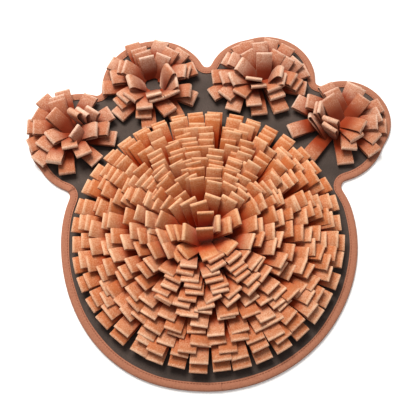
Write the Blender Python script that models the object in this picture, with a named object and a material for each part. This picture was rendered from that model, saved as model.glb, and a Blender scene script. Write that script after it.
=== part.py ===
"""A paw-shaped snuffle mat, lying flat: a dark base cloth with a folded edge binding, a round pad of
looped felt strips sewn down in rings, and a tuft of the same loops on each of the four toes.

Sizes are in millimetres and become metres where the meshes are made. The origin is on the surface
that the mat lies on, under the middle of the round pad. +Y points to the toes and +Z up.
"""

import math
from typing import NamedTuple

import bmesh
import bpy
from mathutils import Vector

MM = 0.001
GAP = 0.3  # between pieces that lie on or in each other


class EdgeCircle(NamedTuple):
    """One of the circles that the paw's cut edge runs along, and the hollow curve that follows it."""

    name: str
    x: float
    y: float
    radius: float
    notch_radius: float


# Counter-clockwise round the paw, starting at the notch between the body and the right toe.
EDGE_CIRCLES = [
    EdgeCircle("outer right toe, heel", x=167, y=157, radius=80, notch_radius=60),
    EdgeCircle("outer right toe, tip", x=195, y=170, radius=62, notch_radius=7),
    EdgeCircle("inner right toe, right", x=90, y=240, radius=68, notch_radius=90),
    EdgeCircle("inner right toe, left", x=74, y=236, radius=68, notch_radius=7),
    EdgeCircle("inner left toe", x=-68, y=230, radius=75, notch_radius=7),
    EdgeCircle("outer left toe, tip", x=-173, y=153, radius=68, notch_radius=60),
    EdgeCircle("outer left toe, heel", x=-156, y=145, radius=77, notch_radius=10),
    EdgeCircle("body", x=0, y=0, radius=192, notch_radius=10),
]


class Bulge(NamedTuple):
    """How far the hand-cut edge of the body strays from its circle, in one direction."""

    direction: float  # degrees from +X, seen from the body's middle
    out: float


BODY_BULGES = [
    Bulge(direction=160, out=0.0),
    Bulge(direction=191, out=-3.0),
    Bulge(direction=238, out=2.2),
    Bulge(direction=268, out=-1.2),
    Bulge(direction=325, out=-0.9),
    Bulge(direction=372, out=2.2),
    Bulge(direction=382, out=0.0),
]
EDGE_STEP = 11.0  # longest straight run along the edge
NOTCH_STEPS = 4  # fewest straight runs round a hollow

# The binding is a strip of felt folded over the edge, with a wall and two flaps.
BINDING_WIDTH = 10.5
BINDING_THICK = 1.3
BINDING_SOFTENED = 0.5  # taken off its two outer folds
BASE_THICK = 3.0
RIM_THICK = 1.0  # the base cloth, pressed thin inside the binding
RIM_LOW = BINDING_THICK + GAP
RIM_HIGH = RIM_LOW + RIM_THICK
FLAP_LOW = RIM_HIGH + GAP
FLAP_HIGH = FLAP_LOW + BINDING_THICK
RIM_STEP = 1.0  # how far the cloth takes to reach its full thickness

# The felt strips, each folded in half to a loop and sewn down by its two ends.
STRIP_WIDTH = 23.0
LOOP_LENGTH = 56.0
TUFT_LOOP_LENGTH = 49.0
LOOP_BEND = 14.0  # degrees that a loop droops from its foot to its fold
LOOP_APART = 1.0  # between neighbours in one ring


class Station(NamedTuple):
    """A cross-section of a loop, as shares of its length and millimetres of thickness."""

    share: float
    upright_thick: float  # where it stands free
    flat_thick: float  # where the loops above press it down


LOOP_STATIONS = [
    Station(share=0.0, upright_thick=2.8, flat_thick=2.4),
    Station(share=0.62, upright_thick=7.0, flat_thick=4.2),
    Station(share=1.0, upright_thick=4.2, flat_thick=3.4),
]

# The sewn ends lie flat and overlap, and make one backing under the loops.
BACKING_LOW = BASE_THICK + GAP
BACKING_THICK = 2.0
FOOT_SUNK = 0.7  # how deep a loop's foot is set in the backing
BACKING_MARGIN = 6.0  # past the outermost feet
BACKING_CORNERS = 24  # fewest round a backing's rim


class Ring(NamedTuple):
    """One ring of loops."""

    foot_radius: float
    lean: float  # degrees from upright, outwards
    loops: int
    turn: float  # degrees that the ring's first loop is turned from +X


PAD_CENTRE = (0.0, 4.0)
PAD_RINGS = 10
PAD_FOOT_RADII = (7.0, 117.0)
PAD_LEANS = (32.0, 69.0)
PAD_LAST_LEAN = 81.0  # nothing lies under the outermost ring, so it falls further
PAD_LOOP_PITCH = 24.7  # along the ring, at the middle of the loops


class Tuft(NamedTuple):
    """One toe's tuft of loops."""

    name: str
    x: float
    y: float
    turn: float  # degrees that all its rings are turned


TUFTS = [
    Tuft("toe_tuft_outer_left", x=-177, y=156, turn=8),
    Tuft("toe_tuft_inner_left", x=-72, y=232, turn=31),
    Tuft("toe_tuft_inner_right", x=76, y=231, turn=17),
    Tuft("toe_tuft_outer_right", x=180, y=158, turn=2),
]
TUFT_RINGS = [
    Ring(foot_radius=4.0, lean=24, loops=4, turn=25),
    Ring(foot_radius=9.5, lean=49, loops=7, turn=0),
    Ring(foot_radius=15.5, lean=73, loops=9, turn=10),
]



class Finish(NamedTuple):
    name: str
    colour: tuple
    roughness: float


FELT = Finish("terracotta_felt", colour=(0.62, 0.27, 0.13), roughness=0.95)
BASE_CLOTH = Finish("charcoal_cloth", colour=(0.040, 0.038, 0.036), roughness=0.9)
BINDING_FELT = Finish("terracotta_binding", colour=(0.56, 0.24, 0.13), roughness=0.9)


def remove_everything():
    for found in list(bpy.data.objects):
        bpy.data.objects.remove(found, do_unlink=True)


def cloth_material(finish):
    material = bpy.data.materials.get(finish.name) or bpy.data.materials.new(finish.name)
    material.use_nodes = True
    shader = material.node_tree.nodes["Principled BSDF"]
    shader.inputs["Base Color"].default_value = (*finish.colour, 1)
    shader.inputs["Roughness"].default_value = finish.roughness
    shader.inputs["Metallic"].default_value = 0
    return material


def add_object(name, bm, finish):
    mesh = bpy.data.meshes.new(name)
    bm.to_mesh(mesh)
    bm.free()
    mesh.materials.append(cloth_material(finish))
    made = bpy.data.objects.new(name, mesh)
    bpy.context.scene.collection.objects.link(made)
    return made


# ---- The paw's cut edge -------------------------------------------------------------------------


def notch_centre(first, second, radius):
    """Centre of the circle of that radius which touches both circles on the paw's outer side."""
    start, end = Vector((first.x, first.y)), Vector((second.x, second.y))
    along = end - start
    to_start, to_end = first.radius + radius, second.radius + radius
    share = (along.length_squared + to_start**2 - to_end**2) / (2 * along.length_squared)
    foot = start + along * share
    outwards = Vector((along.y, -along.x)).normalized()
    return foot + outwards * math.sqrt(to_start**2 - (foot - start).length_squared)


def arc(centre, radius, start, turn, fewest):
    """Points along an arc as (point, direction from the centre), leaving out its last one."""
    steps = max(fewest, math.ceil(abs(turn) * radius / EDGE_STEP))
    found = []
    for step in range(steps):
        angle = start + turn * step / steps
        direction = Vector((math.cos(angle), math.sin(angle)))
        found.append((centre + direction * radius, direction))
    return found


def angle_of(vector):
    return math.atan2(vector.y, vector.x)


def bulge_at(direction):
    """The body's bulge in that direction, eased from each row of the table to the next."""
    turned = math.degrees(direction) % 360
    if turned < BODY_BULGES[0].direction:
        turned += 360
    for row, following in zip(BODY_BULGES, BODY_BULGES[1:]):
        if row.direction <= turned <= following.direction:
            share = (turned - row.direction) / (following.direction - row.direction)
            eased = (1 - math.cos(math.pi * share)) / 2
            return row.out + (following.out - row.out) * eased
    return 0.0


def paw_edge():
    """The cut edge as (point, outward direction), counter-clockwise, with its notches rounded."""
    count = len(EDGE_CIRCLES)
    centres = [Vector((circle.x, circle.y)) for circle in EDGE_CIRCLES]
    notches = [
        notch_centre(circle, EDGE_CIRCLES[(i + 1) % count], circle.notch_radius)
        for i, circle in enumerate(EDGE_CIRCLES)
    ]
    edge = []
    for i, circle in enumerate(EDGE_CIRCLES):
        start = angle_of(notches[i - 1] - centres[i])
        end = angle_of(notches[i] - centres[i])
        stretch = arc(centres[i], circle.radius, start, (end - start) % math.tau, fewest=1)
        if circle.name == "body":
            stretch = [(point + out * bulge_at(angle_of(out)), out) for point, out in stretch]
        edge += stretch
        following = centres[(i + 1) % count]
        start = angle_of(centres[i] - notches[i])
        end = angle_of(following - notches[i])
        turn = -((start - end) % math.tau)
        hollow = arc(notches[i], circle.notch_radius, start, turn, NOTCH_STEPS)
        edge += [(point, -direction) for point, direction in hollow]
    return edge


def edge_ring(bm, edge, inset, height):
    """The cut edge moved inwards by inset, as a ring of vertices at that height."""
    return [
        bm.verts.new(Vector((*(point - outwards * inset), height)) * MM) for point, outwards in edge
    ]


def bridge(bm, first, second):
    for i in range(len(first)):
        j = (i + 1) % len(first)
        bm.faces.new((first[i], first[j], second[j], second[i]))


# ---- The pieces ---------------------------------------------------------------------------------


def base_cloth(edge):
    """The dark panel. It is flat on the surface, and thin where the binding folds round it."""
    bm = bmesh.new()
    full = BINDING_WIDTH + GAP + RIM_STEP
    thin = BINDING_WIDTH + GAP
    cut = BINDING_THICK + GAP
    rings = [
        edge_ring(bm, edge, full, 0),
        edge_ring(bm, edge, thin, RIM_LOW),
        edge_ring(bm, edge, cut, RIM_LOW),
        edge_ring(bm, edge, cut, RIM_HIGH),
        edge_ring(bm, edge, thin, RIM_HIGH),
        edge_ring(bm, edge, full, BASE_THICK),
    ]
    for lower, upper in zip(rings, rings[1:]):
        bridge(bm, lower, upper)
    bm.faces.new(reversed(rings[0]))
    bm.faces.new(rings[-1])
    return add_object("base_cloth", bm, BASE_CLOTH)


def edge_binding(edge):
    """The folded strip: a lower flap on the surface, an outer wall and an upper flap."""
    bm = bmesh.new()
    section = [
        (BINDING_SOFTENED, 0),
        (0, BINDING_SOFTENED),
        (0, FLAP_HIGH - BINDING_SOFTENED),
        (BINDING_SOFTENED, FLAP_HIGH),
        (BINDING_WIDTH, FLAP_HIGH),
        (BINDING_WIDTH, FLAP_LOW),
        (BINDING_THICK, FLAP_LOW),
        (BINDING_THICK, BINDING_THICK),
        (BINDING_WIDTH, BINDING_THICK),
        (BINDING_WIDTH, 0),
    ]
    rings = [edge_ring(bm, edge, inset, height) for inset, height in section]
    for i, ring in enumerate(rings):
        bridge(bm, ring, rings[(i + 1) % len(rings)])
    return add_object("edge_binding", bm, BINDING_FELT)


def backing_disc(bm, centre, radius):
    """The sewn ends of the strips, as one flat disc on the base cloth."""
    steps = max(BACKING_CORNERS, math.ceil(math.tau * radius / EDGE_STEP))
    corners = [
        Vector(centre) + Vector((math.cos(a), math.sin(a))) * radius
        for a in (math.tau * step / steps for step in range(steps))
    ]
    low, high = (
        [bm.verts.new(Vector((*corner, height)) * MM) for corner in corners]
        for height in (BACKING_LOW, BACKING_LOW + BACKING_THICK)
    )
    bridge(bm, low, high)
    bm.faces.new(reversed(low))
    bm.faces.new(high)


def loop_headings(ring):
    return [math.radians(ring.turn + 360 * i / ring.loops) for i in range(ring.loops)]


def add_loop(bm, centre, ring, heading, length):
    """One folded strip: pinched at its sewn foot, fullest at its belly, and pressed at its fold."""
    out = Vector((math.cos(heading), math.sin(heading)))
    across = Vector((-out.y, out.x, 0))
    radius = ring.foot_radius
    height = BACKING_LOW + BACKING_THICK - FOOT_SUNK
    before = 0.0
    rows = []
    for station in LOOP_STATIONS:
        # The middle line is an arc, so each chord leans as the arc does half-way along it.
        chord = math.radians(ring.lean + LOOP_BEND * ((before + station.share) / 2 - 0.5))
        radius += length * (station.share - before) * math.sin(chord)
        height += length * (station.share - before) * math.cos(chord)
        before = station.share
        lean = math.radians(ring.lean + LOOP_BEND * (station.share - 0.5))
        thick = loop_thickness(ring, station)
        inner = radius - thick / 2 * math.cos(lean)
        room = inner * math.tan(math.pi / ring.loops) - LOOP_APART / 2
        half_width = min(STRIP_WIDTH / 2, room)
        corners = []
        for side, face in ((-1, 1), (1, 1), (1, -1), (-1, -1)):
            place = Vector(centre) + out * (radius + face * thick / 2 * math.cos(lean))
            corner = Vector((*place, height - face * thick / 2 * math.sin(lean)))
            corners.append(bm.verts.new((corner + across * side * half_width) * MM))
        rows.append(corners)
    for lower, upper in zip(rows, rows[1:]):
        bridge(bm, lower, upper)
    bm.faces.new(reversed(rows[0]))
    bm.faces.new(rows[-1])


def loop_thickness(ring, station):
    """Loops that lie flat are pressed by those above them, and upright ones stand open."""
    pressed = ring.lean / 90
    return station.upright_thick + (station.flat_thick - station.upright_thick) * pressed


def looped_piece(name, centre, rings, length):
    """A backing disc with its rings of loops joined on, as one solid."""
    disc = bmesh.new()
    backing_disc(disc, centre, max(ring.foot_radius for ring in rings) + BACKING_MARGIN)
    piece = add_object(name, disc, FELT)
    loops = bmesh.new()
    for ring in rings:
        for heading in loop_headings(ring):
            add_loop(loops, centre, ring, heading, length)
    helper = add_object(name + "_loops", loops, FELT)
    helper.hide_render = True
    helper.display_type = "WIRE"
    join = piece.modifiers.new("loops", "BOOLEAN")
    join.operation = "UNION"
    join.object = helper
    return piece


def pad_rings():
    """The pad's rings, from the upright middle to the flat rim, every other one turned half a loop."""
    rings = []
    for k in range(PAD_RINGS):
        radius = PAD_FOOT_RADII[0] + (PAD_FOOT_RADII[1] - PAD_FOOT_RADII[0]) * k / (PAD_RINGS - 1)
        lean = PAD_LEANS[0] + (PAD_LEANS[1] - PAD_LEANS[0]) * k / (PAD_RINGS - 2)
        if k == PAD_RINGS - 1:
            lean = PAD_LAST_LEAN
        middle = radius + LOOP_LENGTH / 2 * math.sin(math.radians(lean))
        loops = round(math.tau * middle / PAD_LOOP_PITCH)
        rings.append(Ring(radius, lean, loops, turn=180 / loops * (k % 2)))
    return rings


def tuft_rings(tuft):
    return [ring._replace(turn=ring.turn + tuft.turn) for ring in TUFT_RINGS]


def build():
    remove_everything()
    edge = paw_edge()
    base_cloth(edge)
    edge_binding(edge)
    looped_piece("loop_pad", PAD_CENTRE, pad_rings(), LOOP_LENGTH)
    for tuft in TUFTS:
        looped_piece(tuft.name, (tuft.x, tuft.y), tuft_rings(tuft), TUFT_LOOP_LENGTH)


build()
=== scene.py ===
# %% [markdown]
# # A paw-shaped snuffle mat
#
# A snuffle mat is a cloth with felt loops sewn all over it. Dry food is dropped between the loops,
# and a dog or cat searches for it by smell. This one is a dark panel cut as a paw and bound along
# its edge, with one round pad of loops on the palm and a tuft of loops on each toe.
#
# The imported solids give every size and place. They are loaded first and are never moved: each
# piece made below lies where its solid lies and stands for it in the picture.

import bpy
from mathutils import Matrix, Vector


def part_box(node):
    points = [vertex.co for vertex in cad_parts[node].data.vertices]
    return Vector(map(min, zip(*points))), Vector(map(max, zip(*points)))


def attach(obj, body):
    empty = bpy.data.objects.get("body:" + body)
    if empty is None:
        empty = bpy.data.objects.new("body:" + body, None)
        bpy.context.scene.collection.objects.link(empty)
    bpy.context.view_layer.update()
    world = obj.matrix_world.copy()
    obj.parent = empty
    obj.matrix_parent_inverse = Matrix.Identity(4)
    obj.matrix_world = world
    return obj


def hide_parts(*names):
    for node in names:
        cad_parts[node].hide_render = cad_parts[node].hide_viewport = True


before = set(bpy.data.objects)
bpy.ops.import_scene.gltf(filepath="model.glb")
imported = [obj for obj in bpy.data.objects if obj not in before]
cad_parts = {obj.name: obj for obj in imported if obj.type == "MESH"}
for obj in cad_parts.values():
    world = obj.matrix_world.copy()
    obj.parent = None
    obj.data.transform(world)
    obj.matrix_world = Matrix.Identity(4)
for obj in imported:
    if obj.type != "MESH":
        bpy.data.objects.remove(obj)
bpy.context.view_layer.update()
print("solids:", sorted(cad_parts))

# %% [markdown]
# ## Units and small helpers
#
# All places are in metres, but a maker thinks in millimetres, so sizes are written as a number of
# millimetres times MM. Colours are written as the hex values that a paint program shows. Blender's
# shaders work in linear light, so one function turns them over.

# %% Units, colours and new objects
import math
from typing import NamedTuple

import bpy
import numpy as np
from mathutils import Vector

MM = 0.001


def linear(hex_colour):
    """An sRGB hex colour as linear red, green, blue and alpha."""
    channels = [int(hex_colour[i : i + 2], 16) / 255 for i in (1, 3, 5)]
    return tuple(c / 12.92 if c < 0.04045 else ((c + 0.055) / 1.055) ** 2.4 for c in channels) + (1.0,)


def new_object(name, data):
    made = bpy.data.objects.new(name, data)
    bpy.context.scene.collection.objects.link(made)
    return made


print("felt orange in linear light:", [round(c, 3) for c in linear("#D98A5C")])

# %% [markdown]
# ## One function for nodes
#
# Materials and Geometry Nodes are both trees of nodes, and a script that builds one is mostly
# settings and links. One function makes a node, sets its properties and fills its inputs. An
# input gets either a plain value or the output of an earlier node.

# %% The node helper
def fill(tree, node, inputs):
    """Fills a node's inputs. Each is a value, or an earlier node's output socket to link."""
    for key, value in inputs.items():
        if isinstance(value, bpy.types.NodeSocket):
            tree.links.new(value, node.inputs[key])
        else:
            node.inputs[key].default_value = value


def add_node(tree, kind, inputs=None, **properties):
    """Adds a node to a tree, sets its properties and fills its inputs."""
    node = tree.nodes.new(kind)
    for name, value in properties.items():
        setattr(node, name, value)
    fill(tree, node, inputs or {})
    return node


# where a Mix node that mixes colours has its two inputs and its output
MIX_A, MIX_B, MIX_OUT = 6, 7, 2
print("a colour mix reads sockets", MIX_A, "and", MIX_B, "and gives output", MIX_OUT)

# %% [markdown]
# ## The camera
#
# The mat lies flat and was photographed from above its lower edge, looking down at 69 degrees.
# The lens and the distance were worked out from how much the far toes shrink and from how the
# round pad turns into an ellipse.

# %% Camera
CAMERA_ELEVATION = math.radians(69.0)
CAMERA_AZIMUTH = math.radians(-1.5)
CAMERA_DISTANCE = 950.3 * MM
CAMERA_LOOKS_AT = Vector((1.36, 45.92, 0.0)) * MM
SENSOR_WIDTH = 36.0
LENS = 62.3

camera_back = Vector(
    (
        math.sin(CAMERA_AZIMUTH) * math.cos(CAMERA_ELEVATION),
        -math.cos(CAMERA_AZIMUTH) * math.cos(CAMERA_ELEVATION),
        math.sin(CAMERA_ELEVATION),
    )
)
camera = new_object("camera", bpy.data.cameras.new("camera"))
camera.data.lens = LENS
camera.data.sensor_width = SENSOR_WIDTH
camera.location = CAMERA_LOOKS_AT + camera_back * CAMERA_DISTANCE
camera.rotation_euler = camera_back.to_track_quat("Z", "Y").to_euler()
bpy.context.scene.camera = camera
print("camera at", [round(c, 3) for c in camera.location], "m")

# %% [markdown]
# ## Floor and light
#
# The mat lies on a plain pale surface in soft daylight. A large panel of light hangs behind the
# toes on the left, so folds that face up and back are bright and the gaps between loops go dark.
# A pale sky fills in the rest. The photograph also has the contrast of a camera's picture style,
# which deepens the orange in the shade, and the view's look gives that.

# %% Floor and lights
FLOOR_SIZE = 6.0
FLOOR_DROP = 0.2 * MM


class Softbox(NamedTuple):
    name: str
    place: tuple  # metres
    size: float
    watts: float
    colour: str


SOFTBOXES = [
    Softbox("window", place=(-0.45, 1.15, 1.7), size=1.0, watts=56.0, colour="#FFFCF7"),
    Softbox("ceiling", place=(0.0, -0.2, 2.0), size=1.6, watts=5.0, colour="#FFFFFF"),
]
SKY_COLOUR = "#F4F6FA"
SKY_STRENGTH = 0.3
VIEW_EXPOSURE = -0.4


def add_softbox(row):
    light = bpy.data.lights.new(row.name, "AREA")
    light.size = row.size
    light.energy = row.watts
    light.color = linear(row.colour)[:3]
    lamp = new_object(row.name, light)
    lamp.location = row.place
    lamp.rotation_euler = Vector(row.place).to_track_quat("Z", "Y").to_euler()


def new_material(name):
    """A material with its shader, and the tree that both live in."""
    material = bpy.data.materials.new(name)
    material.use_nodes = True
    return material, material.node_tree, material.node_tree.nodes["Principled BSDF"]


def floor_material():
    material, tree, shader = new_material("matt_white_paper")
    surface = {
        "Base Color": linear("#F6F6F5"),
        "Roughness": 0.9,
        "Emission Color": linear("#FFFFFF"),
        "Emission Strength": 0.2,  # the paper is overexposed in the photograph
    }
    fill(tree, shader, surface)
    return material


def add_floor():
    half = FLOOR_SIZE / 2
    mesh = bpy.data.meshes.new("floor")
    corners = [(x, y, -FLOOR_DROP) for x, y in ((-half, -half), (half, -half), (half, half), (-half, half))]
    mesh.from_pydata(corners, [], [(0, 1, 2, 3)])
    mesh.materials.append(floor_material())
    new_object("floor", mesh)


def add_sky():
    world = bpy.data.worlds.new("studio")
    bpy.context.scene.world = world
    world.use_nodes = True
    background = world.node_tree.nodes["Background"]
    fill(world.node_tree, background, {"Color": linear(SKY_COLOUR), "Strength": SKY_STRENGTH})


for softbox in SOFTBOXES:
    add_softbox(softbox)
add_floor()
add_sky()
bpy.context.scene.view_settings.view_transform = "Standard"
bpy.context.scene.view_settings.look = "Medium High Contrast"
bpy.context.scene.view_settings.exposure = VIEW_EXPOSURE
print("lights:", [row.name for row in SOFTBOXES])

# %% [markdown]
# ## Felt
#
# The loops are pressed craft felt. Felt is a mat of crossing fibres with no weave, so it is quite
# matt, with a pale bloom where fibres stand out at a grazing angle, which the sheen gives. Its dye
# is a little uneven, and each strip was cut from another part of the sheet, so every loop carries
# its own shade as an attribute. A second attribute says how warm a light is painted on the loop:
# the pad's upper side, whose faces get mostly light bounced between the loops, is painted the most
# orange, and the toes the least. A third is the distance from the fold: the fold gets a painted
# highlight, and down between the loops painted shade makes the colour deepest.
#
# How far a spot has gone from the pale colour to the full one is a sum, to which the clumps of
# fibre, the uneven dye, the loop's own shade and the distance from the fold, for the painted
# highlight, each add their share.

# %% Felt material
# painted light: each pair is the colour of loops painted in warm light and of those in cool
# light, and the pale colour is also used for the painted highlight on the folds
FELT_PALE = ("#F0C29C", "#EED2C2")
FELT_FULL = ("#C97644", "#B37860")
# painted shade: the colour that the felt turns to down between the loops
FELT_PAINTED_SHADE = ("#BE4A17", "#7A3C2A")  # down between the loops
FELT_MOTTLE_SIZE = 9.0 * MM
FELT_FIBRE_SIZE = 1.4 * MM  # real fibres are near 0.02 mm: this is the clumps that they form
FELT_FIBRE_HEIGHT = 0.45 * MM
# painted highlight on the fold, which fades out between these two distances
FELT_HIGHLIGHT_FADES = (1.0 * MM, 5.0 * MM)  # distances from the fold, along the felt
# painted shade, which deepens between these two distances from the fold
FELT_SHADE_DEEPENS = (7.0 * MM, 28.0 * MM)
FELT_FIBRE_SHARE = 2.0
FELT_MOTTLE_SHARE = 0.7
FELT_SHADE_SHARE = 0.4
# the painted highlight's share
FELT_HIGHLIGHT_SHARE = 0.52
FELT_DYE_AND_HIGHLIGHT_START = -1.25  # the shares are added to this, which brings most of the felt between 0 and 1


def felt_material():
    material, tree, shader = new_material("terracotta_pressed_felt")
    place = add_node(tree, "ShaderNodeTexCoord").outputs["Object"]
    mottle, fibres = (
        add_node(
            tree,
            "ShaderNodeTexNoise",
            {"Vector": place, "Scale": 1 / size, "Detail": 3.0, "Roughness": roughness},
        ).outputs["Fac"]
        for size, roughness in ((FELT_MOTTLE_SIZE, 0.6), (FELT_FIBRE_SIZE, 0.7))
    )
    shade, light_warmth, depth = (
        add_node(tree, "ShaderNodeAttribute", attribute_name=name).outputs["Fac"]
        for name in ("shade", "light_warmth", "depth")
    )
    # painted highlight near the fold and painted shade down between the loops, both from the distance to the
    # fold
    past_highlight, painted_shade = (
        add_node(
            tree,
            "ShaderNodeMapRange",
            {"Value": depth, "From Min": near, "From Max": far},
            interpolation_type="SMOOTHSTEP",
        ).outputs[0]
        for near, far in (FELT_HIGHLIGHT_FADES, FELT_SHADE_DEEPENS)
    )
    dye_and_highlight = FELT_DYE_AND_HIGHLIGHT_START
    for source, share in (
        (fibres, FELT_FIBRE_SHARE),
        (mottle, FELT_MOTTLE_SHARE),
        (shade, FELT_SHADE_SHARE),
        (past_highlight, FELT_HIGHLIGHT_SHARE),
    ):
        inputs = {0: source, 1: share, 2: dye_and_highlight}
        dye_and_highlight = add_node(tree, "ShaderNodeMath", inputs, operation="MULTIPLY_ADD").outputs[0]
    # painted light: each colour is mixed between its cool-lit and warm-lit one by how warm a light is painted
    # on the loop
    pale, full, painted_shade_colour = (
        add_node(
            tree,
            "ShaderNodeMix",
            {"Factor": light_warmth, MIX_A: linear(cool), MIX_B: linear(warm)},
            data_type="RGBA",
        ).outputs[MIX_OUT]
        for warm, cool in (FELT_PALE, FELT_FULL, FELT_PAINTED_SHADE)
    )
    face = add_node(tree, "ShaderNodeMix", {"Factor": dye_and_highlight, MIX_A: pale, MIX_B: full}, data_type="RGBA")
    # painted shade: further from the fold, down between the loops, the colour turns to the shaded one
    colour = add_node(
        tree,
        "ShaderNodeMix",
        {"Factor": painted_shade, MIX_A: face.outputs[MIX_OUT], MIX_B: painted_shade_colour},
        data_type="RGBA",
    )
    bump = add_node(
        tree, "ShaderNodeBump", {"Height": fibres, "Distance": FELT_FIBRE_HEIGHT, "Strength": 0.8}
    )
    surface = {
        "Base Color": colour.outputs[MIX_OUT],
        "Normal": bump.outputs["Normal"],
        "Roughness": 0.95,
        "Specular IOR Level": 0.2,
        "Sheen Weight": 0.8,
        "Sheen Roughness": 0.4,
        "Sheen Tint": linear("#FFD9BF"),
    }
    fill(tree, shader, surface)
    return material


FELT = felt_material()
print("felt:", FELT.name)

# %% [markdown]
# ## The base cloth's material
#
# The base is a dense charcoal cloth with a felted face, like a stiff non-woven. It is nearly
# black, with a faint grey grain from its fibres and the light that it catches from the side.

# %% Base cloth material
BASE_DARK = "#473C36"
BASE_PALE = "#665851"
BASE_GRAIN_SIZE = 1.1 * MM  # drawn coarser than the real grain, near 0.3 mm, so that it shows
BASE_GRAIN_HEIGHT = 0.15 * MM
BASE_WEAR_SIZE = 40.0 * MM  # slow patches where the face is a little more or less worn
BASE_PALES = (0.12, 0.42)  # where grain times wear turns the dark colour into the pale one


def base_cloth_material():
    material, tree, shader = new_material("charcoal_felted_cloth")
    place = add_node(tree, "ShaderNodeTexCoord").outputs["Object"]
    grain = add_node(
        tree,
        "ShaderNodeTexNoise",
        {"Vector": place, "Scale": 1 / BASE_GRAIN_SIZE, "Detail": 3.0, "Roughness": 0.7},
    ).outputs["Fac"]
    wear = add_node(
        tree, "ShaderNodeTexNoise", {"Vector": place, "Scale": 1 / BASE_WEAR_SIZE, "Detail": 2.0}
    ).outputs["Fac"]
    both = add_node(tree, "ShaderNodeMath", {0: grain, 1: wear}, operation="MULTIPLY").outputs[0]
    level = add_node(
        tree, "ShaderNodeMapRange", {"Value": both, "From Min": BASE_PALES[0], "From Max": BASE_PALES[1]}
    ).outputs[0]
    colour = add_node(
        tree,
        "ShaderNodeMix",
        {"Factor": level, MIX_A: linear(BASE_DARK), MIX_B: linear(BASE_PALE)},
        data_type="RGBA",
    )
    bump = add_node(
        tree, "ShaderNodeBump", {"Height": grain, "Distance": BASE_GRAIN_HEIGHT, "Strength": 0.7}
    )
    surface = {
        "Base Color": colour.outputs[MIX_OUT],
        "Normal": bump.outputs["Normal"],
        "Roughness": 0.85,
        "Sheen Weight": 0.15,
        "Sheen Roughness": 0.5,
    }
    fill(tree, shader, surface)
    return material


BASE_CLOTH = base_cloth_material()
print("base cloth:", BASE_CLOTH.name)

# %% [markdown]
# ## The binding's material and its thread
#
# The binding is a woven tape in the felt's colour, a little browner. Its ribs run across the
# tape. They follow the tape round every bend, so they are drawn on its UV map, where U is the
# distance along the tape and V the distance across it, both in metres. The thread is polyester,
# a shade darker than the tape.

# %% Binding and thread materials
TAPE_PALE = "#C58B70"
TAPE_DEEP = "#9E6349"
TAPE_RIB_PITCH = 1.5 * MM  # real ribs are near 0.7 mm: drawn at twice that, so that they show
TAPE_RIB_HEIGHT = 0.18 * MM
TAPE_RIB_SHARE = 0.25  # of the ribs in the tape's colour and bump, next to the fluff on them
TAPE_FLUFF_SIZE = MM / 0.45  # 2.2 mm
THREAD = "#8E5138"


def tape_material():
    material, tree, shader = new_material("terracotta_woven_tape")
    along_tape = add_node(tree, "ShaderNodeUVMap", uv_map="UVMap").outputs["UV"]
    along, across = add_node(tree, "ShaderNodeSeparateXYZ", {"Vector": along_tape}).outputs[:2]
    waves = []
    for distance in (along, across):
        inputs = {0: distance, 1: 2 * math.pi / TAPE_RIB_PITCH}
        turns = add_node(tree, "ShaderNodeMath", inputs, operation="MULTIPLY").outputs[0]
        waves.append(add_node(tree, "ShaderNodeMath", {0: turns}, operation="SINE").outputs[0])
    weave = add_node(tree, "ShaderNodeMath", dict(enumerate(waves)), operation="MULTIPLY").outputs[0]
    place = add_node(tree, "ShaderNodeTexCoord").outputs["Object"]
    fluff = add_node(
        tree, "ShaderNodeTexNoise", {"Vector": place, "Scale": 1 / TAPE_FLUFF_SIZE, "Detail": 3.0}
    ).outputs["Fac"]
    height = add_node(
        tree, "ShaderNodeMath", {0: weave, 1: TAPE_RIB_SHARE, 2: fluff}, operation="MULTIPLY_ADD"
    ).outputs[0]
    colour = add_node(
        tree,
        "ShaderNodeMix",
        {"Factor": height, MIX_A: linear(TAPE_DEEP), MIX_B: linear(TAPE_PALE)},
        data_type="RGBA",
    )
    bump = add_node(
        tree, "ShaderNodeBump", {"Height": height, "Distance": TAPE_RIB_HEIGHT, "Strength": 0.8}
    )
    surface = {
        "Base Color": colour.outputs[MIX_OUT],
        "Normal": bump.outputs["Normal"],
        "Roughness": 0.85,
        "Sheen Weight": 0.15,
    }
    fill(tree, shader, surface)
    return material


def thread_material():
    material, tree, shader = new_material("polyester_sewing_thread")
    fill(tree, shader, {"Base Color": linear(THREAD), "Roughness": 0.55})
    return material


TAPE = tape_material()
SEWING_THREAD = thread_material()
print("tape and thread:", TAPE.name, SEWING_THREAD.name)

# %% [markdown]
# ## The paw's outline
#
# The binding's solid already carries the outline. Its outermost ring of points lies half a
# millimetre above the floor, so those points are picked out by their height and put in order by
# their direction from a point in the palm. A closed curve through them is then walked in small
# equal steps. A Catmull-Rom curve is used because it passes through every point it is given.

# %% Read the outline from the binding's solid
OUTLINE_HEIGHT = (0.3 * MM, 0.7 * MM)
PALM = np.array([0.0, 80.0]) * MM  # every part of the outline can be seen from here
OUTLINE_STEP = 2.0 * MM
CURVE_STEPS = 40  # between two of the solid's points, to measure the curve's length


def rim_points(node):
    """The node's points at the outline's height, in order round the palm."""
    points = np.array([vertex.co for vertex in node.data.vertices])
    points = points[(points[:, 2] > OUTLINE_HEIGHT[0]) & (points[:, 2] < OUTLINE_HEIGHT[1])]
    points = np.unique(np.round(points[:, :2], 6), axis=0)
    away = points - PALM
    return points[np.argsort(np.arctan2(away[:, 1], away[:, 0]))]


def closed_curve(points, share):
    """Points on the closed Catmull-Rom curve, where share runs from 0 to the number of points."""
    index = np.floor(share).astype(int)
    t = (share - index)[:, None]
    before, start, end, after = (points[(index + k) % len(points)] for k in (-1, 0, 1, 2))
    return 0.5 * (
        2 * start
        + (end - before) * t
        + (2 * before - 5 * start + 4 * end - after) * t**2
        + (3 * start - 3 * end + after - before) * t**3
    )


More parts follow.
